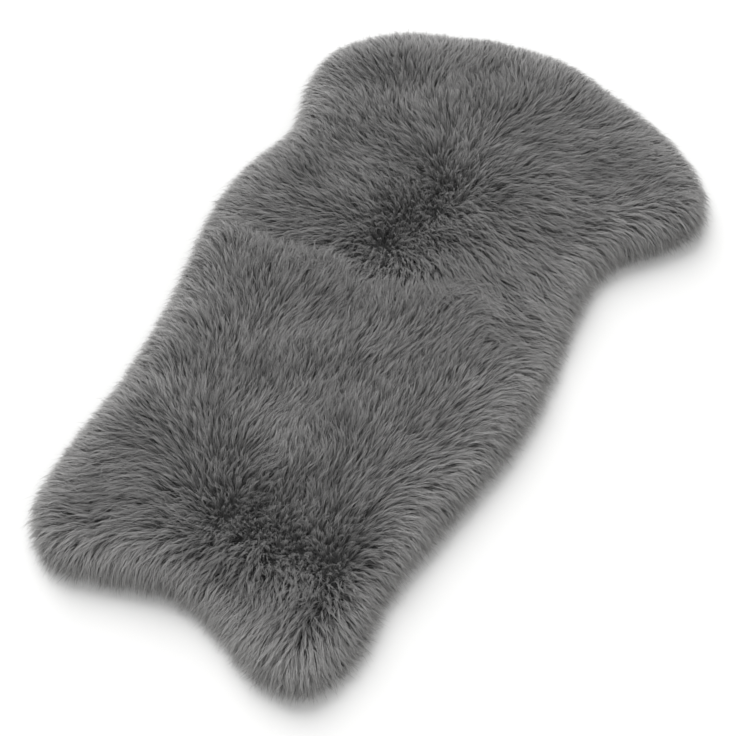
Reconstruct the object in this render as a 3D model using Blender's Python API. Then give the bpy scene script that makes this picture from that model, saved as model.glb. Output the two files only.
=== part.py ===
"""A long-wool sheepskin rug, laid out flat: the hide and its fleece as one closed solid.

The rug lies on the XY plane with its back line along Y, the neck end towards +Y and the hind end
towards -Y. The origin is on the resting face, under the middle of the rug's box.
The solid reaches as far as the tips of the wool do. Lengths are in metres.
"""

import math

import bmesh
import bpy
from mathutils import Vector, geometry, kdtree

# Driving dimensions
RUG_WIDTH = 0.724
RUG_LENGTH = 1.20
FLEECE_HEIGHT = 0.047  # of the lying wool in the open field of the rug
SPINE_RISE = 0.007  # the wool stands upright along the back line, so it is higher there
SPINE_REACH = 0.11
EDGE_ROUND = 0.062  # how far in from its edge the fleece is still rounding down
EDGE_HEIGHT = 0.011  # the height at which the fleece reaches furthest out
FLOOR_INSET = 0.009  # from there in to where the wool meets the floor

# Mesh spacing
OUTLINE_STEPS = 5  # from one landmark to the next
EDGE_RINGS = (0.003, 0.010, 0.021, 0.036, 0.056)  # insets of the rings that round the edge
UNDER_RING = 0.0035  # inset of the ring between the outline and the floor
FIELD_STEP = 0.026

# The outline, clockwise from above, as shares of half the width and of half the length.
LANDMARKS = (
    # name, across, along
    ("neck", 0.02, 1.00),
    ("neck, right corner", 0.34, 0.955),
    ("right shoulder, top", 0.68, 0.875),
    ("right shoulder, outer", 0.93, 0.765),
    ("right foreleg", 1.00, 0.635),
    ("right foreleg, under", 0.905, 0.53),
    ("right armpit", 0.715, 0.40),
    ("right side, high", 0.685, 0.24),
    ("right side, middle", 0.71, 0.05),
    ("right side, low", 0.70, -0.17),
    ("right flank", 0.60, -0.45),
    ("right hock", 0.525, -0.66),
    ("right hind leg, outer", 0.525, -0.84),
    ("right hind leg", 0.40, -0.98),
    ("right hind leg, inner", 0.17, -0.985),
    ("tail hollow, right", -0.04, -0.925),
    ("tail hollow", -0.25, -0.895),
    ("left hind leg, inner", -0.50, -0.93),
    ("left hind leg", -0.75, -0.955),
    ("left hind leg, outer", -0.945, -0.85),
    ("left hock", -0.965, -0.66),
    ("left flank", -0.925, -0.42),
    ("left side, low", -0.945, -0.14),
    ("left side, middle", -1.00, 0.12),
    ("left side, high", -0.965, 0.31),
    ("left armpit", -0.885, 0.45),
    ("left foreleg", -0.945, 0.60),
    ("left shoulder, outer", -0.91, 0.75),
    ("left shoulder, top", -0.70, 0.885),
    ("neck, left corner", -0.36, 0.96),
)

# The back line, from which the wool parts to both sides, in the same shares.
SPINE_ENDS = ((-0.07, 0.36), (-0.17, -0.66))

# Soft unevenness of the pile: where it is fuller or flatter, in the same shares.
MOUNDS = (
    # name, across, along, reach, rise
    ("right shoulder", 0.62, 0.66, 0.12, 0.004),
    ("left shoulder", -0.58, 0.64, 0.11, 0.003),
    ("small of the back, right", 0.36, 0.12, 0.10, -0.003),
    ("small of the back, left", -0.55, 0.16, 0.12, 0.003),
    ("loin", 0.24, -0.42, 0.11, 0.003),
    ("left rump", -0.60, -0.58, 0.12, 0.004),
    ("tail hollow", -0.22, -0.74, 0.08, -0.003),
)

FLEECE_COLOUR = (0.165, 0.165, 0.162, 1.0)
FLEECE_ROUGHNESS = 0.85


def clear_scene():
    for leftover in list(bpy.data.objects):
        bpy.data.objects.remove(leftover)


def rug_place(across, along):
    """The point of the rug at these shares of half its width and of half its length."""
    return Vector((across * RUG_WIDTH / 2, along * RUG_LENGTH / 2))


def smooth_loop(corners, steps):
    """Points on a smooth closed curve through the corners, steps of them from corner to corner."""
    points = []
    count = len(corners)
    for i, corner in enumerate(corners):
        before, after, beyond = corners[i - 1], corners[(i + 1) % count], corners[(i + 2) % count]
        leaving = corner + (after - before) / 6
        arriving = after - (beyond - corner) / 6
        points += geometry.interpolate_bezier(corner, leaving, arriving, after, steps + 1)[:-1]
    return points


def fitted(points, sizes):
    """The points, moved and stretched so that their box is centred and has these sizes."""
    lows = [min(p[axis] for p in points) for axis in (0, 1)]
    highs = [max(p[axis] for p in points) for axis in (0, 1)]
    return [
        Vector([
            (p[axis] - (lows[axis] + highs[axis]) / 2) * sizes[axis] / (highs[axis] - lows[axis])
            for axis in (0, 1)
        ])
        for p in points
    ]


def drawn_in(outline, inset):
    """The clockwise outline moved inwards by inset, point for point."""
    moved = []
    for i, place in enumerate(outline):
        heading = (outline[(i + 1) % len(outline)] - outline[i - 1]).normalized()
        moved.append(place + Vector((heading.y, -heading.x)) * inset)
    return moved


def insets_from(outline):
    """A function that says how far a place lies from the outline."""
    tree = kdtree.KDTree(len(outline))
    for i, place in enumerate(outline):
        tree.insert(place.to_3d(), i)
    tree.balance()
    return lambda place: tree.find(place.to_3d())[2]


def field_places(inset_of):
    """Places in staggered rows over the rug's box, clear of the outline and its rings."""
    row_step = FIELD_STEP * math.sqrt(3) / 2
    rows = int(RUG_LENGTH / 2 / row_step)
    columns = int(RUG_WIDTH / 2 / FIELD_STEP) + 1
    places = [
        Vector(((column + row % 2 / 2) * FIELD_STEP, row * row_step))
        for row in range(-rows, rows + 1)
        for column in range(-columns, columns + 1)
    ]
    clear = EDGE_RINGS[-1] + FIELD_STEP * 0.6
    return [place for place in places if inset_of(place) > clear]


def spine_distance(place):
    upper, lower = (rug_place(*end) for end in SPINE_ENDS)
    share = geometry.intersect_point_line(place, upper, lower)[1]
    return (place - upper.lerp(lower, min(max(share, 0), 1))).length


def field_height(place):
    """The top of the fleece, away from the rug's edges."""
    height = FLEECE_HEIGHT + SPINE_RISE * math.exp(-((spine_distance(place) / SPINE_REACH) ** 2))
    for _, across, along, reach, rise in MOUNDS:
        gap = (place - rug_place(across, along)).length
        height += rise * math.exp(-((gap / reach) ** 2))
    return height


def fleece_height(place, inset):
    """The top of the fleece at a place this far in from the outline."""
    out = 1 - min(inset / EDGE_ROUND, 1)
    return EDGE_HEIGHT + (field_height(place) - EDGE_HEIGHT) * math.sqrt(1 - out * out)


def add_fleece(bm, outline):
    """The upper surface, down to the outline. Returns the outline's vertices in order."""
    inset_of = insets_from(outline)
    places = list(outline)
    for inset in EDGE_RINGS:
        places += drawn_in(outline, inset)
    places += field_places(inset_of)
    boundary = [list(range(len(outline)))]
    flat, _, faces, sources, _, _ = geometry.delaunay_2d_cdt(places, [], boundary, 1, 1e-6)

    made = {}
    for i in sorted({i for face in faces for i in face}):
        on_outline = bool(sources[i]) and sources[i][0] < len(outline)
        height = EDGE_HEIGHT if on_outline else fleece_height(flat[i], inset_of(flat[i]))
        made[i] = bm.verts.new((flat[i].x, flat[i].y, height))
    for face in faces:
        bm.faces.new([made[i] for i in face])

    order = {sources[i][0]: vert for i, vert in made.items() if sources[i]}
    return [order[i] for i in range(len(outline))]


def add_underside(bm, outline, rim):
    """Rounds the wool under from the rim and closes it with the flat resting face."""
    above = rim
    for inset, height in ((UNDER_RING, EDGE_HEIGHT * 0.3), (FLOOR_INSET, 0.0)):
        ring = [bm.verts.new((p.x, p.y, height)) for p in drawn_in(outline, inset)]
        for i in range(len(ring)):
            bm.faces.new((above[i - 1], above[i], ring[i], ring[i - 1]))
        above = ring
    bm.faces.new(above)


def fleece_material():
    material = bpy.data.materials.new("fleece")
    material.use_nodes = True
    shader = material.node_tree.nodes["Principled BSDF"]
    shader.inputs["Base Color"].default_value = FLEECE_COLOUR
    shader.inputs["Roughness"].default_value = FLEECE_ROUGHNESS
    return material


def build_sheepskin():
    landmarks = [rug_place(across, along) for _, across, along in LANDMARKS]
    outline = fitted(smooth_loop(landmarks, OUTLINE_STEPS), (RUG_WIDTH, RUG_LENGTH))

    bm = bmesh.new()
    rim = add_fleece(bm, outline)
    add_underside(bm, outline, rim)
    bmesh.ops.recalc_face_normals(bm, faces=bm.faces)
    mesh = bpy.data.meshes.new("sheepskin")
    bm.to_mesh(mesh)
    bm.free()

    mesh.materials.append(fleece_material())
    mesh.shade_smooth()
    sheepskin = bpy.data.objects.new("sheepskin", mesh)
    bpy.context.scene.collection.objects.link(sheepskin)
    return sheepskin


clear_scene()
build_sheepskin()
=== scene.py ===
"""The looks of the long-wool sheepskin rug: its suede hide, its dense underwool and its fleece."""

import math
from collections import namedtuple

import bmesh
import bpy
import numpy as np
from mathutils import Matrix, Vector, noise
from mathutils.bvhtree import BVHTree


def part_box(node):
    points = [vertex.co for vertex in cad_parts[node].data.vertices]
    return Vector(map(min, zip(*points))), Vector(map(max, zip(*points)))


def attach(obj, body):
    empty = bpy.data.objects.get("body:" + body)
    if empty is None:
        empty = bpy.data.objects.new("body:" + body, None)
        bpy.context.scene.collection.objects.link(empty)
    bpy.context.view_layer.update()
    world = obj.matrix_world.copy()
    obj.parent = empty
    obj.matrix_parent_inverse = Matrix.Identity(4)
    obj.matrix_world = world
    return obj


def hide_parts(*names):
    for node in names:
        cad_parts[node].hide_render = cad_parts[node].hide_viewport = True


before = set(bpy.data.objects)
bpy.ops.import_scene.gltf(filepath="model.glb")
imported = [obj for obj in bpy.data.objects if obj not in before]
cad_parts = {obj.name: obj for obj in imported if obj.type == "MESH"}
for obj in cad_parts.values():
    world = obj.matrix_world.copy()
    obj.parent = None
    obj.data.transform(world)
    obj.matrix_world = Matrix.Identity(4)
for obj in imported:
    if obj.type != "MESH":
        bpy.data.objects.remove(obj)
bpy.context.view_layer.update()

# The view
VIEW_AZIMUTH, VIEW_ELEVATION = math.radians(26), math.radians(60)
LENS_MM, SENSOR_MM = 85, 36
FRAME_FILLED = 0.93  # by the longer side of the rug
FIRST_DISTANCE, FRAMING_ROUNDS = 3, 6

# The stage
FLOOR_HALF, FLOOR_COLOUR = 40, (0.83, 0.83, 0.825)
SKY_LIGHT = 0.66
KEY_LIGHT, KEY_SOFTNESS = 3.4, math.radians(50)
KEY_FROM = (-0.58, 0.61, 0.62)

# The hide, in metres
HIDE_INSET = 0.034  # the wool reaches this far past the hide
HIDE_THICKNESS = 0.002

# The underwool, in metres
UNDERWOOL_INSET = 0.017
UNDERCUT = 0.0135  # how much further in it meets the hide
UNDERWOOL_EASES = 0.09  # how far in from the outline it is still drawn in
UNDERWOOL_LIFT = 0.0003  # clear of the hide
UNDERWOOL_SHARE = 0.52  # of the fleece's height
PARTING_SHARE = 0.58  # the same where the wool stands up
TUFTS = (
    # how many to the metre, how high, the level of the noise that is read
    (120, 0.004, 0),
    (45, 0.003, 3),
)
DEEPEST_TUFT = -0.004
TUFTS_FULL = 0.03  # the height of the fleece from which the tufts have their full size

# How the wool lies, in metres
PARTING_REACH = 0.105  # how far from a parting the wool is still rising
CURL_REACH = 0.027  # how far from a parting the locks curl every way
EDGE_REACH = 0.075  # how far in from the hide's edge the wool turns to lie straight outwards
EDGE_EVENS = 0.01  # how near to a point of the outline its pull outwards stops growing
MEETING = (-0.05, 0.11)  # along the rug, where wool from the one parting meets wool from the other

# How strongly
EDGE_PULL = 1.4  # at the hide's edge, where the wool's own way counts as 1
EDGE_POWER = 5  # the way to each point of the outline is divided by this power of its length
ACCORD = 0.6  # two ways that add up to less than this are at odds
ODDS_RAISE = 0.4  # the share of its lean that the wool loses where they are wholly at odds

# The lines from which the wool parts, as shares of half the rug's width and half its length.
PARTINGS = (
    # name, from across, along, to across, along
    ("whorl", (-0.08, 0.41), (-0.19, 0.21)),
    ("hind", (-0.19, -0.66), (0.26, -0.67)),
)

# A lock, in metres
LOCK_REACH = 0.054  # from its root to its tip where it lies down
UPRIGHT_REACH = 0.017  # the same where it stands up
BOW, WAVE = 0.0025, 0.0016  # how far it swings to one side, and to both
ROOT_SPREAD, TIP_SPREAD = 0.0030, 0.0007  # of its strands round its middle
ROOT_LIFT = 0.0012  # how far its strands differ in height near the root
CRIMP = 0.0009  # how uneven a strand is
PAST_HIDE = 0.001  # how far outside the hide's edge its root may stand
PAST_OUTLINE_HEIGHT = 0.010  # what counts as the fleece's height where its tip is past the outline
LOWEST_STRAND = 0.0012
STANDS_PROUD = 0.008  # at most, of the CAD fleece's highest point

# Along a lock, as shares of its length
HALFWAY = 0.45
HALFWAY_HEIGHT = 0.92  # how high it lies there, as a share of its layer's height
BENDS_AT = 0.30
CLOSES = (0.25, 1.0)  # from where to where its strands draw together into a point
CRIMP_GROWS = 1.3  # times as fast as the share of the length, so it is full before the tip
TAPER = (
    # where, how wide
    (0.3, 0.85),
    (0.65, 1.0),
    (1.0, 0.0),
)
SHOWS_FROM = 0.3  # nearer its root a lock is hidden, and is left out

# How locks and strands differ, as shares of their usual measures
OUT_OF_PLACE = 0.4  # of the spacing
LOCK_REACHES = (0.8, 1.25)
CURL_SHORTENS = 0.6  # at most
TIP_HEIGHTS = (0.93, 1.0)
STRAND_REACHES = (0.84, 1.06)
STRAND_WIDTHS = (0.7, 1.3)

# How far they turn, in radians
UPRIGHT_STRAY = 0.22  # a lock from its way, where the wool stands up
CURL_TURN = 1.3  # the same where it curls
STRAND_LEAN, STRAND_ROLL = 0.2, 0.3  # the flat side of a strand from facing upwards

# The rim, where locks lie at all heights
RIM_REACH = 0.02  # in from the hide's edge, in metres
RIM_DEPTH = 0.6  # how much deeper than elsewhere they may lie, as a share of the fleece's height
LOWEST_LAYER = 0.1  # a share of the same

# The shade of the wool, from 0, dark, to 1, pale. Painted light makes it paler at the rim, and painted shade
# makes it darker at the partings
LOCKS_DIFFER, STRANDS_DIFFER = 0.08, 0.05  # from each other
# A painted halo: the wool is painted paler towards the outline, as if light came through its edge from
# behind
PAINTED_HALO_REACH = (-0.065, 0.004)  # in metres past the outline, where a tip starts to be painted paler and where it is palest
PAINTED_HALO_PALES = 0.36
PAINTED_HALO_AHEAD = 0.35  # how much of the way that is left to its tip's paler colour a strand of the painted halo skips
UPRIGHT_PAINTED_SHADE, CURL_PAINTED_SHADE = 0.20, 0.06  # painted shade of the partings' depths: where the wool stands up, and where it curls or two ways meet in a crease
SHADE_LIMITS = (0.03, 0.97)

# The strands' map
MAP_MARGIN = 0.02  # how far from the map's edges a strand starts and stops
MAP_HALF_WIDTH = 0.01  # of a strand

# A drift is soft unevenness: how strong it is, how far apart its hills lie, in metres, and its seed
Drift = namedtuple("Drift", "strength size seed")
WIDE_SWIRL = Drift(0.26, 0.16, 1)  # the swirls in radians
FINE_SWIRL = Drift(0.11, 0.045, 2)
SHADE_DRIFT = Drift(0.05, 0.09, 3)
BOW_DRIFT = Drift(0.002, 0.03, 4)  # this and the partings' in metres
PARTING_DRIFTS = (Drift(0.006, 0.05, 5), Drift(0.006, 0.05, 6))
LAYER_DRIFT = Drift(0.03, 0.016, 7)  # this and the relief as shares of the fleece's height
RELIEF_DRIFT = Drift(0.05, 0.13, 8)
MEETING_DRIFT = Drift(0.025, 0.16, 9)  # in metres
DRIFT_WAVES = 12
WAVE_LENGTHS = (0.7, 1.8)  # as shares of the drift's size

# A kind of lock, with its lengths in metres
#     spacing: from one lock to the next
#     strands: how many a lock has
#     stations: the shares of a lock's length at which a strand has its corners
#     width: of a strand where it is widest
#     layers: the lowest and the highest that a lock lies in the fleece, as shares of the fleece's height
#     turn: how far a lock strays from its way, in radians
#     past_edge: how far past the outline a lock may reach at least, most often and at most
#     shade: of the wool, from 0, dark, to 1, pale
#     within: how far in from the hide's edge the locks grow
Kind = namedtuple("Kind", "spacing strands stations width layers turn past_edge shade within")
EVERYWHERE = 1.0
KINDS = (
    # The wool that makes up most of the fleece
    Kind(spacing=0.0044, strands=5, stations=(0.36, 0.72, 1.0), width=0.00074, layers=(0.68, 0.94),
         turn=0.09, past_edge=(-0.026, -0.006, 0.006), shade=0.44, within=EVERYWHERE),
    # Paler locks that lie on top of it
    Kind(spacing=0.0071, strands=5, stations=(0.30, 0.56, 0.80, 1.0), width=0.00074, layers=(0.95, 1.0),
         turn=0.10, past_edge=(-0.022, -0.002, 0.010), shade=0.58, within=EVERYWHERE),
    # Single fine hairs that stand off it
    Kind(spacing=0.0062, strands=1, stations=(0.36, 0.72, 1.0), width=0.00045, layers=(1.01, 1.12),
         turn=0.35, past_edge=(-0.006, 0.004, 0.014), shade=0.72, within=EVERYWHERE),
    # Locks that hang from the hide's edge down to the floor
    Kind(spacing=0.0040, strands=5, stations=(0.36, 0.72, 1.0), width=0.0009, layers=(0.12, 0.75),
         turn=0.14, past_edge=(-0.016, -0.004, 0.002), shade=0.50, within=0.012),
    # Fine hairs that stand off its rim
    Kind(spacing=0.0031, strands=1, stations=(0.36, 0.72, 1.0), width=0.00045, layers=(0.30, 1.05),
         turn=0.40, past_edge=(-0.006, 0.006, 0.016), shade=0.72, within=0.020),
)
PIECES = ("fleece_neck", "fleece_shoulders", "fleece_back", "fleece_loin", "fleece_hind")
SEED = 20

# Small distances, and a height above everything, in metres
SHORTEST, SAME_POINT, ON_EDGE, TRIAL_STEP = 1e-9, 1e-6, 1e-4, 0.001
ABOVE = 1.0


# --- Small tools ---

def unit(vectors):
    return vectors / np.maximum(np.linalg.norm(vectors, axis=-1, keepdims=True), SHORTEST)


def turned(vectors, angles):
    cos, sin = np.cos(angles), np.sin(angles)
    x, y = vectors[:, 0], vectors[:, 1]
    return np.stack([x * cos - y * sin, x * sin + y * cos], axis=1)


def smooth_step(values, start, end):
    share = np.clip((values - start) / (end - start), 0, 1)
    return share * share * (3 - 2 * share)


def drift_at(places, drift):
    """Smooth unevenness about 0 at each place: the sum of waves that run every way."""
    draw = np.random.default_rng(drift.seed)
    turn, phase = draw.uniform(0, 2 * math.pi, (2, DRIFT_WAVES))
    pitch = 2 * math.pi / (drift.size * draw.uniform(*WAVE_LENGTHS, DRIFT_WAVES))
    along = places @ np.array([np.cos(turn), np.sin(turn)])
    return drift.strength * (np.sin(along * pitch + phase).sum(axis=1) / math.sqrt(DRIFT_WAVES / 2))


def area_of(loop):
    """The area within the loop, below 0 where the loop runs clockwise."""
    x, y = loop.T
    return (x * np.roll(y, -1) - y * np.roll(x, -1)).sum() / 2


def drawn_in(loop, inset):
    """The loop moved inwards by inset, point for point."""
    heading = unit(np.roll(loop, -1, axis=0) - np.roll(loop, 1, axis=0))
    right = np.stack([heading[:, 1], -heading[:, 0]], axis=1)
    return loop - right * inset if area_of(loop) > 0 else loop + right * inset


def mesh_of(name, bm):
    mesh = bpy.data.meshes.new(name)
    bm.to_mesh(mesh)
    bm.free()
    return mesh


def new_object(name, mesh, material):
    mesh.materials.append(material)
    piece = bpy.data.objects.new(name, mesh)
    bpy.context.scene.collection.objects.link(piece)
    return piece


# --- Reading the CAD fleece ---

low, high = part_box("sheepskin")
MIDDLE = np.array([(low.x + high.x) / 2, (low.y + high.y) / 2])
HALF = np.array([(high.x - low.x) / 2, (high.y - low.y) / 2])


def merged_copy(node):
    bm = bmesh.new()
    bm.from_mesh(node.data)
    bmesh.ops.remove_doubles(bm, verts=bm.verts, dist=SAME_POINT)
    bmesh.ops.recalc_face_normals(bm, faces=bm.faces)
    return bm


def outline_of(bm):
    """The points where the solid reaches furthest out, in order."""
    rim = [e for e in bm.edges if (e.link_faces[0].normal.z > 0) != (e.link_faces[1].normal.z > 0)]
    edge, vert = rim[0], rim[0].verts[0]
    rim = set(rim)
    points = []
    while True:
        points.append(vert.co.copy())
        vert = edge.other_vert(vert)
        edge = [e for e in vert.link_edges if e in rim and e != edge][0]
        if vert.co == points[0]:
            return np.array(points)


def nearest_on(loop, places):
    """For each place, the nearest point of the closed loop."""
    best = np.full(len(places), np.inf)
    nearest = np.zeros_like(places)
    for start, end in zip(loop, np.roll(loop, -1, axis=0)):
        along = end - start
        share = np.clip((places - start) @ along / (along @ along), 0, 1)
        point = start + share[:, None] * along
        gap = np.linalg.norm(places - point, axis=1)
        closer = gap < best
        best[closer], nearest[closer] = gap[closer], point[closer]
    return nearest


def inside(loop, places):
    result = np.zeros(len(places), bool)
    for (x0, y0), (x1, y1) in zip(loop, np.roll(loop, -1, axis=0)):
        crosses = (y0 > places[:, 1]) != (y1 > places[:, 1])
        if y1 != y0:
            result ^= crosses & (places[:, 0] < x0 + (places[:, 1] - y0) * (x1 - x0) / (y1 - y0))
    return result


def insets(places):
    """How far each place lies inside the outline, below 0 where it lies outside."""
    gap = np.linalg.norm(places - nearest_on(OUTLINE, places), axis=1)
    return np.where(inside(OUTLINE, places), gap, -gap)


def ways_in(places, edge):
    """The direction inwards at each place, of which edge is the nearest point of the outline."""
    inwards = unit(places - edge)
    on_edge = np.linalg.norm(places - edge, axis=1) < ON_EDGE
    spots = [np.argmin(np.linalg.norm(OUTLINE - place, axis=1)) for place in places[on_edge]]
    inwards[on_edge] = unit(drawn_in(OUTLINE, TRIAL_STEP) - OUTLINE)[spots]
    return inwards


def ways_out(places):
    """The direction from each place to the outline, smooth where two sides are about as near."""
    total = np.zeros_like(places)
    for point in OUTLINE:
        to_point = point - places
        total += to_point / ((to_point ** 2).sum(axis=1)[:, None] + EDGE_EVENS ** 2) ** (EDGE_POWER / 2)
    return unit(total)


def tops(places):
    """The height of the CAD fleece over each place."""
    heights = []
    for x, y in places:
        hit = SOLID.ray_cast((x, y, ABOVE), (0, 0, -1))[0]
        heights.append(hit.z if hit else 0.0)
    return np.array(heights)


solid_bm = merged_copy(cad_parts["sheepskin"])
SOLID = BVHTree.FromBMesh(solid_bm)
RIM = outline_of(solid_bm)
OUTLINE, RIM_HEIGHT = RIM[:, :2], RIM[:, 2].mean()


# --- How the wool lies ---

def relief(places):
    """The share of its usual height that the wool has at each place."""
    return 1 + drift_at(places, RELIEF_DRIFT)


def from_parting(places, ends):
    """The way from a parting to each place, with the parting a little uneven, and how far that is."""
    start, end = (MIDDLE + np.array(corner) * HALF for corner in ends)
    along = end - start
    share = np.clip((places - start) @ along / (along @ along), 0, 1)
    uneven = np.stack([drift_at(places, drift) for drift in PARTING_DRIFTS], axis=1)
    away = places - (start + share[:, None] * along) + uneven
    return unit(away), np.linalg.norm(away, axis=1)


def lay_of(places, inset):
    """Which way the wool lies at each place, how far over, from 0 upright to 1, and how curly, up to 1."""
    (whorl_way, whorl_gap), (hind_way, hind_gap) = (from_parting(places, ends) for _, *ends in PARTINGS)
    share = smooth_step(places[:, 1] + drift_at(places, MEETING_DRIFT), *MEETING)[:, None]
    lay = whorl_way * share + hind_way * (1 - share)
    accord = smooth_step(np.linalg.norm(lay, axis=1), 0, ACCORD)
    calm = (1 - ODDS_RAISE) + ODDS_RAISE * accord
    lay = turned(unit(lay), drift_at(places, WIDE_SWIRL) + drift_at(places, FINE_SWIRL))

    at_edge = 1 - smooth_step(inset, HIDE_INSET, EDGE_REACH + HIDE_INSET)
    lay = unit(lay * (1 - at_edge)[:, None] + ways_out(places) * (EDGE_PULL * at_edge)[:, None])
    gap = np.minimum(whorl_gap, hind_gap)
    clear = smooth_step(gap, 0, CURL_REACH)
    lean = np.maximum(smooth_step(gap, 0, PARTING_REACH) * calm, at_edge * clear)
    return lay, lean, 1 - clear * calm


# --- Materials ---

class Nodes:
    """Short ways to add and link the nodes of a material or a group."""

    def __init__(self, tree):
        self.tree = tree

    def add(self, kind, inputs=(), **settings):
        node = self.tree.nodes.new(kind if kind.startswith("NodeGroup") else "ShaderNode" + kind)
        for name, value in settings.items():
            setattr(node, name, value)
        for name, value in dict(inputs).items():
            socket = node.inputs[name]
            if isinstance(value, bpy.types.NodeSocket):
                self.tree.links.new(value, socket)
            else:
                socket.default_value = value
        return node

    def link(self, output, socket):
        self.tree.links.new(output, socket)

    def multiplied(self, a, b):
        # Mix has sockets of the same names for each kind of value, and 6, 7 and 2 are those for colours
        mix = self.add("Mix", {"Factor": 1.0, 6: a, 7: b}, data_type="RGBA", blend_type="MULTIPLY")
        return mix.outputs[2]

    def ramp(self, factor, stops):
        node = self.add("ValToRGB", {"Fac": factor})
        elements = node.color_ramp.elements
        while len(elements) < len(stops):
            elements.new(0.5)
        for element, (place, colour) in zip(elements, stops):
            element.position = place
            element.color = (*colour, 1)
        return node.outputs["Color"]


def grey(brightness, warmth=0.0):
    return (brightness * (1 + warmth), brightness, brightness * (1 - warmth))


def new_material(name, roughness=0.5, sheen=0.0, specular=0.5):
    material = bpy.data.materials.new(name)
    material.use_nodes = True
    shader = material.node_tree.nodes["Principled BSDF"]
    shader.inputs["Roughness"].default_value = roughness
    shader.inputs["Sheen Weight"].default_value = sheen
    shader.inputs["Specular IOR Level"].default_value = specular
    return material, Nodes(material.node_tree), shader


def grain_group():
    """Fine unevenness of any surface: a shade between two, to multiply its colour by, and a height."""
    tree = bpy.data.node_groups.new("grain", "ShaderNodeTree")
    for name, kind in (("Vector", "Vector"), ("Scale", "Float"), ("Dark", "Float"), ("Pale", "Float")):
        tree.interface.new_socket(name, in_out="INPUT", socket_type="NodeSocket" + kind)
    for name in ("Shade", "Height"):
        tree.interface.new_socket(name, in_out="OUTPUT", socket_type="NodeSocketFloat")
    nodes = Nodes(tree)
    given = nodes.add("NodeGroupInput").outputs
    texture = nodes.add("TexNoise", {"Vector": given["Vector"], "Scale": given["Scale"], "Detail": 3.0})
    height = texture.outputs["Fac"]
    shade = nodes.add("MapRange", {
        "Value": height,
        "From Min": 0.3,
        "From Max": 0.7,
        "To Min": given["Dark"],
        "To Max": given["Pale"],
    }).outputs["Result"]
    nodes.add("NodeGroupOutput", {"Shade": shade, "Height": height})
    return tree


GRAIN = grain_group()


def add_grain(nodes, shader, colour, where, scale, shades, depth):
    """Gives the shader this colour with a grain in it, depth deep."""
    settings = {"Vector": where, "Scale": scale, "Dark": shades[0], "Pale": shades[1]}
    grain = nodes.add("Group", settings, node_tree=GRAIN).outputs
    nodes.link(nodes.multiplied(colour, grain["Shade"]), shader.inputs["Base Color"])
    bump = nodes.add("Bump", {"Height": grain["Height"], "Strength": 0.5, "Distance": depth})
    nodes.link(bump.outputs["Normal"], shader.inputs["Normal"])


def wool_material():
    """Wool that pales from root to tip, its dark roots partly painted shade of the fleece's depths. The
    map's U holds each strand's shade and its V the way along it.
    """
    material, nodes, shader = new_material("wool", sheen=0.4, specular=0.3)
    strand = nodes.add("UVMap", uv_map="OFBake").outputs["UV"]
    place = nodes.add("SeparateXYZ", {"Vector": strand}).outputs
    # Dark at the root: partly the wool's own paler tips, and partly painted shade deep in the fleece
    along = nodes.ramp(place["Y"], [
        (0.0, grey(0.050)),
        (0.35, grey(0.095, warmth=0.01)),
        (0.75, grey(0.190, warmth=0.012)),
        (1.0, grey(0.300, warmth=0.015)),
    ])
    shade = nodes.ramp(place["X"], [(0.0, grey(0.65)), (0.5, grey(1.0)), (1.0, grey(1.65))])
    fibres = nodes.add("Mapping", {"Vector": strand, "Scale": (360.0, 5.0, 1.0)}).outputs["Vector"]
    colour = nodes.multiplied(along, shade)
    add_grain(nodes, shader, colour, fibres, scale=1.0, shades=(0.86, 1.14), depth=0.0001)
    dull = nodes.ramp(place["Y"], [(0.0, grey(0.85)), (1.0, grey(0.55))])
    nodes.link(dull, shader.inputs["Roughness"])
    return material


def underwool_material():
    material, nodes, shader = new_material("underwool", roughness=0.9, sheen=0.1, specular=0.2)
    where = nodes.add("TexCoord").outputs["Object"]
    tufts = nodes.add("TexNoise", {"Vector": where, "Scale": 40.0, "Detail": 3.0}).outputs["Fac"]
    # Near black, as the wool's roots: partly its own tone, and partly painted shade of the fleece's depths
    colour = nodes.ramp(tufts, [(0.3, grey(0.050)), (0.7, grey(0.070))])
    add_grain(nodes, shader, colour, where, scale=260.0, shades=(0.7, 1.3), depth=0.002)
    return material


def suede_material():
    material, nodes, shader = new_material("suede", roughness=0.9, sheen=0.2, specular=0.2)
    where = nodes.add("TexCoord").outputs["Object"]
    clouds = nodes.add("TexNoise", {"Vector": where, "Scale": 14.0, "Detail": 6.0}).outputs["Fac"]
    colour = nodes.ramp(clouds, [(0.3, grey(0.27, warmth=0.03)), (0.7, grey(0.38, warmth=0.03))])
    add_grain(nodes, shader, colour, where, scale=900.0, shades=(0.9, 1.1), depth=0.0006)
    return material


# --- Hide and underwool ---

def make_hide(edge):
    bm = bmesh.new()
    ring = [bm.verts.new((x, y, 0)) for x, y in edge]
    top = bmesh.ops.extrude_discrete_faces(bm, faces=[bm.faces.new(ring)])["faces"][0]
    bm.faces.new(ring)  # in place of the one that was raised
    bmesh.ops.translate(bm, verts=top.verts, vec=(0, 0, HIDE_THICKNESS))
    bmesh.ops.recalc_face_normals(bm, faces=bm.faces)
    return new_object("hide", mesh_of("hide", bm), suede_material())


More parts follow.
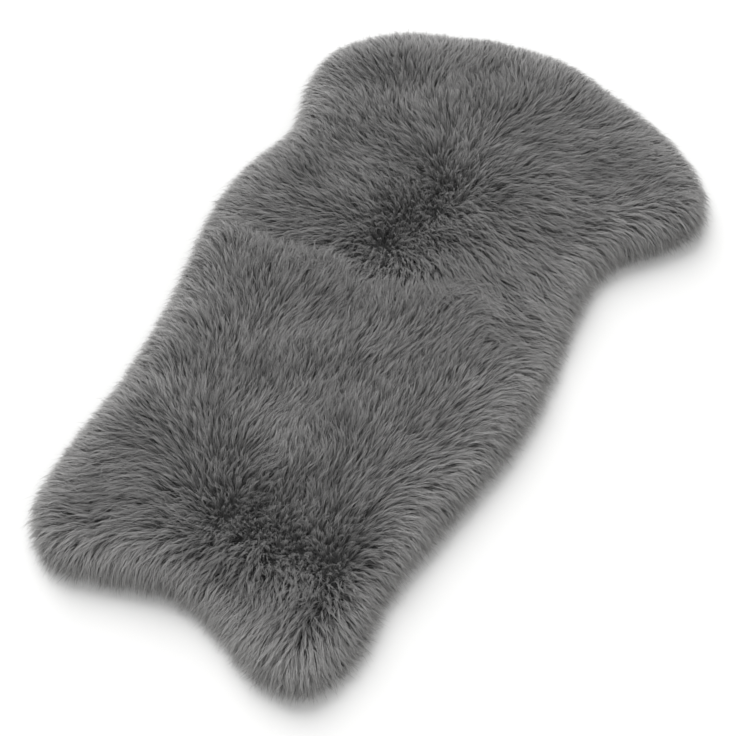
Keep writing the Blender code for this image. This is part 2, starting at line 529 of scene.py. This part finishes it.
def make_underwool():
    """A low, tufted copy of the CAD fleece, drawn in at its edge."""
    bm = solid_bm.copy()
    bmesh.ops.subdivide_edges(bm, edges=bm.edges, cuts=1, use_grid_fill=True)
    bmesh.ops.triangulate(bm, faces=bm.faces)
    places = np.array([v.co.xy for v in bm.verts])
    heights = np.array([v.co.z for v in bm.verts])
    edge = nearest_on(OUTLINE, places)
    inset = np.linalg.norm(places - edge, axis=1)

    under = UNDERCUT * (1 - np.clip(heights / RIM_HEIGHT, 0, 1))
    draw_in = (UNDERWOOL_INSET + under) * (1 - smooth_step(inset, 0, UNDERWOOL_EASES))
    lean = lay_of(places, inset)[1]
    share = (PARTING_SHARE + (UNDERWOOL_SHARE - PARTING_SHARE) * lean) * relief(places)
    lowest = HIDE_THICKNESS + UNDERWOOL_LIFT
    for vert, way, how_far, fullness in zip(bm.verts, ways_in(places, edge), draw_in, share):
        x, y, z = vert.co
        tuft = sum(noise.noise(Vector((x, y, level)) * pitch) * size for pitch, size, level in TUFTS)
        height = lowest + z * fullness + max(tuft, DEEPEST_TUFT) * min(z / TUFTS_FULL, 1)
        vert.co = (x + way[0] * how_far, y + way[1] * how_far, max(height, lowest))
    mesh = mesh_of("underwool", bm)
    mesh.shade_smooth()
    return new_object("underwool", mesh, underwool_material())


# --- Fleece ---

def lock_roots(spacing, within, draw):
    """Where locks grow: a staggered grid up to within of the hide's edge, each a little out of its place."""
    rows = np.arange(-HALF[1], HALF[1], spacing * math.sqrt(3) / 2)
    columns = np.arange(-HALF[0], HALF[0], spacing)
    across, along = np.meshgrid(columns, rows)
    across = across + (np.arange(len(rows)) % 2)[:, None] * spacing / 2
    places = MIDDLE + np.stack([across.ravel(), along.ravel()], axis=1)
    places += draw.uniform(-OUT_OF_PLACE, OUT_OF_PLACE, places.shape) * spacing
    inset = insets(places)
    grows = (inset > HIDE_INSET - PAST_HIDE) & (inset < HIDE_INSET + within)
    return places[grows], inset[grows]


Locks = namedtuple("Locks", "root tip tip_height half_height bow wave shade fringe")


def comb_locks(kind, draw):
    """The locks of a kind: their ends, heights and swings, their shade and their share in the painted halo
    of rim light.
    """
    root, inset = lock_roots(kind.spacing, kind.within, draw)
    count = len(root)
    lay, lean, curl = lay_of(root, inset)
    stray = kind.turn + UPRIGHT_STRAY * (1 - lean)
    lay = turned(lay, draw.normal(0, 1, count) * stray + curl * draw.normal(0, CURL_TURN, count))
    reach = (UPRIGHT_REACH + (LOCK_REACH - UPRIGHT_REACH) * lean) * draw.uniform(*LOCK_REACHES, count)
    reach *= 1 - CURL_SHORTENS * curl
    reach = np.minimum(reach, inset + draw.triangular(*kind.past_edge, count))
    fringe = smooth_step(reach - inset, *PAINTED_HALO_REACH)
    tip = root + lay * reach[:, None]
    halfway = root + lay * reach[:, None] * HALFWAY

    rim = 1 - smooth_step(inset, HIDE_INSET, HIDE_INSET + RIM_REACH)
    layer = draw.uniform(*kind.layers, count) - drift_at(root, LAYER_DRIFT)
    layer = layer - rim * draw.uniform(0, RIM_DEPTH, count)
    layer = np.maximum(layer, LOWEST_LAYER) * relief(root)
    tip_height = np.maximum(tops(tip), PAST_OUTLINE_HEIGHT) * layer * draw.uniform(*TIP_HEIGHTS, count)
    half_height = tops(halfway) * layer * HALFWAY_HEIGHT
    bow = draw.normal(0, BOW, count) + drift_at(root, BOW_DRIFT)
    wave = draw.normal(0, WAVE, count)
    shade = kind.shade + LOCKS_DIFFER * draw.normal(0, 1, count) + drift_at(root, SHADE_DRIFT)
    # Painted rim light: paler where a tip comes near the outline
    # Painted shade: darker where the wool stands up and curls, in the depths of the partings
    shade = shade + PAINTED_HALO_PALES * fringe - UPRIGHT_PAINTED_SHADE * (1 - lean) - CURL_PAINTED_SHADE * curl
    return Locks(root, tip, tip_height, half_height, bow, wave, shade, fringe)


def template_strand(lengths):
    """A flat strand that ends in a point. Returns each corner's side and station, and the faces."""
    bm = bmesh.new()
    bmesh.ops.create_grid(bm, x_segments=1, y_segments=lengths, size=1)
    end = [v for v in bm.verts if v.co.y > 0.99]  # the grid runs from -1 to 1
    bmesh.ops.pointmerge(bm, verts=end, merge_co=(0, 1, 0))
    bm.verts.index_update()
    bm.normal_update()
    sides = np.array([round(v.co.x) for v in bm.verts])
    stations = np.array([round((v.co.y + 1) * lengths / 2) for v in bm.verts])
    faces = [[v.index for v in (f.verts if f.normal.z > 0 else reversed(f.verts))] for f in bm.faces]
    bm.free()
    return sides, stations, faces


def strand_lines(locks, kind, draw):
    """The middle line of every strand, (strands, stations, 3), and its shade."""
    each = (len(locks.root), kind.strands)
    along = np.array(kind.stations) * draw.uniform(*STRAND_REACHES, each)[..., None]

    root, tip = locks.root[:, None, None, :], locks.tip[:, None, None, :]
    bend = root + (tip - root) * BENDS_AT
    t = along[..., None]
    flat = (1 - t) ** 2 * root + 2 * t * (1 - t) * bend + t ** 2 * tip
    tip_height = locks.tip_height[:, None, None]
    # The curve passes half_height in its middle
    bend_height = (locks.half_height[:, None, None] - 0.25 * tip_height) * 2
    height = 2 * along * (1 - along) * bend_height + along * along * tip_height + HIDE_THICKNESS

    sideways = turned(unit(locks.tip - locks.root), math.pi / 2)[:, None, None, :]
    for swing, turns in ((locks.bow, math.pi), (locks.wave, 2 * math.pi)):
        flat = flat + sideways * np.sin(turns * np.clip(t, 0, 1)) * swing[:, None, None, None]
    closed = smooth_step(t, *CLOSES)
    turn = draw.uniform(0, 2 * math.pi, each)
    offset = np.stack([np.cos(turn), np.sin(turn)], axis=-1)[:, :, None, :]
    offset = offset * np.sqrt(draw.uniform(0, 1, each))[..., None, None]
    flat = flat + offset * (ROOT_SPREAD * (1 - closed) + TIP_SPREAD * closed)
    flat = flat + draw.normal(0, CRIMP, flat.shape) * np.clip(t * CRIMP_GROWS, 0, 1)
    height = height + draw.normal(0, ROOT_LIFT, each)[..., None] * (1 - closed[..., 0])

    height = np.clip(height, LOWEST_STRAND, high.z + STANDS_PROUD)
    lines = np.concatenate([flat, height[..., None]], axis=-1)
    shade = locks.shade[:, None] + draw.normal(0, STRANDS_DIFFER, each)
    return lines.reshape(-1, len(kind.stations), 3), np.clip(shade.ravel(), *SHADE_LIMITS)


def ribbon_places(lines, width, sides, stations, draw):
    """The corners of every strand's ribbon, (strands, corners, 3)."""
    heading = unit(np.gradient(lines, axis=1))
    count = len(lines)
    turn = draw.uniform(0, 2 * math.pi, count)
    upwards = np.stack([STRAND_LEAN * np.cos(turn), STRAND_LEAN * np.sin(turn), np.ones(count)], axis=1)
    side = unit(np.cross(heading, upwards[:, None, :]))
    face = np.cross(side, heading)
    roll = draw.normal(0, STRAND_ROLL, count)[:, None, None]
    side = side * np.cos(roll) + face * np.sin(roll)
    half = width * draw.uniform(*STRAND_WIDTHS, count)[:, None] / 2
    return lines[:, stations] + side[:, stations] * (half[:, stations] * sides)[..., None]


def strands_of(kind, draw):
    """The ribbons of a kind: their corners, the faces between these, their map, and each root's Y."""
    locks = comb_locks(kind, draw)
    lines, shade = strand_lines(locks, kind, draw)
    sides, stations, faces = template_strand(len(kind.stations) - 1)
    along = np.array(kind.stations)
    width = kind.width * np.interp(along, *zip(*TAPER))
    places = ribbon_places(lines, width, sides, stations, draw)

    maps = np.empty((len(lines), len(sides), 2))
    maps[..., 0] = shade[:, None] + sides * MAP_HALF_WIDTH
    maps[..., 1] = MAP_MARGIN + (1 - 2 * MAP_MARGIN) * (along[stations] - SHOWS_FROM) / (1 - SHOWS_FROM)
    # The painted halo also moves a strand's colour on towards its pale tip: painted rim light
    fringe = np.repeat(locks.fringe, kind.strands)[:, None]
    maps[..., 1] += (1 - MAP_MARGIN - maps[..., 1]) * PAINTED_HALO_AHEAD * fringe
    return places, faces, maps, np.repeat(locks.root[:, 1], kind.strands)


def joined(name, sets):
    """One mesh of the ribbons in the sets, with their map."""
    points, corners, starts, maps = [], [], [], []
    for places, faces, places_on_map in sets:
        template = np.concatenate(faces)
        first = np.cumsum([0] + [len(face) for face in faces[:-1]])
        copy = np.arange(len(places))[:, None]
        corners.append((template + copy * places.shape[1]).ravel() + sum(map(len, points)))
        starts.append((first + copy * len(template)).ravel() + sum(map(len, maps)))
        points.append(places.reshape(-1, 3))
        maps.append(places_on_map[:, template].reshape(-1, 2))
    points, corners, starts, maps = (np.concatenate(parts) for parts in (points, corners, starts, maps))
    mesh = bpy.data.meshes.new(name)
    mesh.vertices.add(len(points))
    mesh.vertices.foreach_set("co", points.astype(np.float32).ravel())
    mesh.loops.add(len(corners))
    mesh.loops.foreach_set("vertex_index", corners.astype(np.int32))
    mesh.polygons.add(len(starts))
    mesh.polygons.foreach_set("loop_start", starts.astype(np.int32))
    mesh.update(calc_edges=True)
    mesh.uv_layers.new(name="OFBake").data.foreach_set("uv", maps.astype(np.float32).ravel())
    mesh.validate()
    mesh.shade_smooth()
    return mesh


def make_fleece(draw):
    """The fleece in bands along the rug, so that no piece has too many triangles."""
    kinds = [strands_of(kind, draw) for kind in KINDS]
    bounds = np.quantile(np.concatenate([roots for *_, roots in kinds]), np.linspace(1, 0, len(PIECES) + 1))
    wool = wool_material()
    fleece = []
    for name, upper, lower in zip(PIECES, bounds, bounds[1:]):
        sets = []
        for places, faces, maps, roots in kinds:
            here = (roots > lower) & (roots <= upper)
            sets.append((places[here], faces, maps[here]))
        fleece.append(new_object(name, joined(name, sets), wool))
    return fleece


# --- Camera, floor and light ---

def add_camera():
    """Looks down on the rug from the photograph's side, with the rug filling the frame."""
    away = Vector((
        math.sin(VIEW_AZIMUTH) * math.cos(VIEW_ELEVATION),
        -math.cos(VIEW_AZIMUTH) * math.cos(VIEW_ELEVATION),
        math.sin(VIEW_ELEVATION),
    ))
    turn = (-away).to_track_quat("-Z", "Y")
    right, up = turn @ Vector((1, 0, 0)), turn @ Vector((0, 1, 0))
    points = [v.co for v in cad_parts["sheepskin"].data.vertices]
    place = away * FIRST_DISTANCE
    for _ in range(FRAMING_ROUNDS):
        seen = [((p - place).dot(right), (p - place).dot(up), (place - p).dot(away)) for p in points]
        across, along = [x / depth for x, _, depth in seen], [y / depth for _, y, depth in seen]
        distance = place.dot(away)
        place += (right * (min(across) + max(across)) + up * (min(along) + max(along))) / 2 * distance
        widest = max(max(across) - min(across), max(along) - min(along))
        place += away * distance * (widest / FRAME_FILLED * LENS_MM / SENSOR_MM - 1)
    camera = bpy.data.objects.new("camera", bpy.data.cameras.new("camera"))
    camera.data.lens, camera.data.sensor_width = LENS_MM, SENSOR_MM
    camera.location = place
    camera.rotation_euler = turn.to_euler()
    bpy.context.scene.collection.objects.link(camera)
    bpy.context.scene.camera = camera


def add_floor():
    """A pale floor without an end."""
    bm = bmesh.new()
    bmesh.ops.create_grid(bm, x_segments=1, y_segments=1, size=FLOOR_HALF)
    material, _, shader = new_material("floor", roughness=0.8, specular=0.2)
    shader.inputs["Base Color"].default_value = (*FLOOR_COLOUR, 1)
    new_object("floor", mesh_of("floor", bm), material)


def add_light():
    """A soft light from behind and above, and light from all round. Past the floor the camera sees white."""
    world = bpy.data.worlds.new("studio")
    world.use_nodes = True
    nodes = Nodes(world.node_tree)
    seen = nodes.add("LightPath").outputs["Is Camera Ray"]
    strength = nodes.add("MapRange", {"Value": seen, "To Min": SKY_LIGHT, "To Max": 1.0}).outputs["Result"]
    background = world.node_tree.nodes["Background"]
    background.inputs["Color"].default_value = (1, 1, 1, 1)
    nodes.link(strength, background.inputs["Strength"])
    bpy.context.scene.world = world

    data = bpy.data.lights.new("key", "SUN")
    data.energy, data.angle = KEY_LIGHT, KEY_SOFTNESS
    key = bpy.data.objects.new("key", data)
    key.rotation_euler = (-Vector(KEY_FROM)).to_track_quat("-Z", "Y").to_euler()
    bpy.context.scene.collection.objects.link(key)
    bpy.context.scene.view_settings.view_transform = "Standard"


add_camera()
add_floor()
add_light()

hide_edge = drawn_in(OUTLINE, HIDE_INSET)
hide = make_hide(hide_edge)
underwool = make_underwool()
fleece = make_fleece(np.random.default_rng(SEED))
solid_bm.free()

for piece in (hide, underwool, *fleece):
    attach(piece, "root")
for piece in (underwool, *fleece):
    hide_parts("sheepskin")
